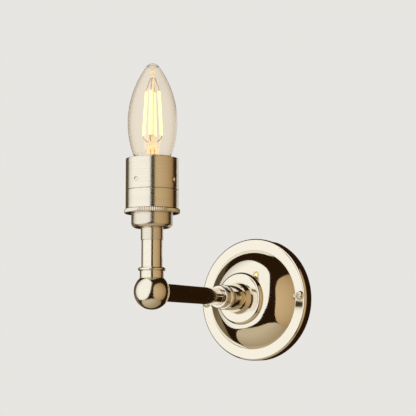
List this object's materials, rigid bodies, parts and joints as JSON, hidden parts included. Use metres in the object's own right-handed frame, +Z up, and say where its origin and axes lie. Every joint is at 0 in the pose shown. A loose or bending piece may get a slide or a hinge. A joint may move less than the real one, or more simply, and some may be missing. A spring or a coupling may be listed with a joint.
{
  "type": "wall light",
  "caption": "Wall light with a round rose, a straight arm, a ball elbow and an upright screw lampholder that holds a clear candle-shaped filament lamp.",
  "frame": {"origin": "centre of the rose's open back, on the plane of the wall", "axes": "+Y into the wall, so the arm runs out along -Y; +Z up along the lamp; +X to the right seen from the room"},
  "size_m": [0.095, 0.1637, 0.2103],
  "materials": {
    "polished_nickel": "polished",
    "zinc_steel": "zinc plated",
    "raw_brass": "turned",
    "white_ceramic": "unglazed",
    "clear_glass": "clear",
    "mount_glass": "clear",
    "lamp_cap_metal": "bright",
    "black_glass": "gloss",
    "solder_tin": "dull",
    "filament_phosphor": "matt",
    "support_wire": "drawn",
    "circuit_board": "matt",
    "copper": "drawn",
    "white_plastic": "moulded",
    "brown_sheath": "smooth",
    "blue_sheath": "smooth",
    "green_yellow_sheath": "smooth"
  },
  "bodies": {
    "fixture": {"wall_rose": "polished_nickel", "rose_screws": "polished_nickel", "mounting_strap": "zinc_steel", "rose_boss": "polished_nickel", "arm_ferrule": "polished_nickel", "arm_tube": "polished_nickel", "arm_rod": "raw_brass", "rod_washer": "zinc_steel", "rod_nut": "raw_brass", "earth_tag": "raw_brass", "ball_elbow": "polished_nickel", "stem_collar": "polished_nickel", "stem_tube": "polished_nickel", "stem_rod": "raw_brass", "holder_cap": "polished_nickel", "knurled_ring": "polished_nickel", "lower_sleeve": "polished_nickel", "upper_sleeve": "polished_nickel", "holder_insulator": "white_ceramic", "screw_shell": "raw_brass", "spring_contact": "raw_brass", "holder_terminals": "raw_brass", "terminal_clamp_screws": "zinc_steel", "terminal_block": "white_plastic", "block_sleeves": "raw_brass", "block_screws": "zinc_steel", "block_fixing_screw": "zinc_steel", "live_wire": "brown_sheath", "neutral_wire": "blue_sheath", "earth_wire": "green_yellow_sheath"},
    "lamp_contact": {"cap_contact": "solder_tin"},
    "lamp": {"bulb_glass": "clear_glass", "bulb_cap": "lamp_cap_metal", "cap_insulator": "black_glass", "glass_mount": "mount_glass", "led_filaments": "filament_phosphor", "filament_supports": "support_wire", "driver_board": "circuit_board", "lead_wires": "copper"}
  },
  "joints": [
    {"name": "lamp_rise", "type": "slide", "parent": "fixture", "child": "lamp_contact", "axis": [0, 0, 1], "range_m": [0, 0.0164]},
    {"name": "lamp_turn", "type": "hinge", "parent": "lamp_contact", "child": "lamp", "pos_m": [0, -0.144, 0.08], "axis": [0, 0, 1], "range_deg": [0, 1620]}
  ],
  "couplings": [
    {"joint": "lamp_rise", "follows": "lamp_turn", "m_per_rad": 0.0005775}
  ]
}
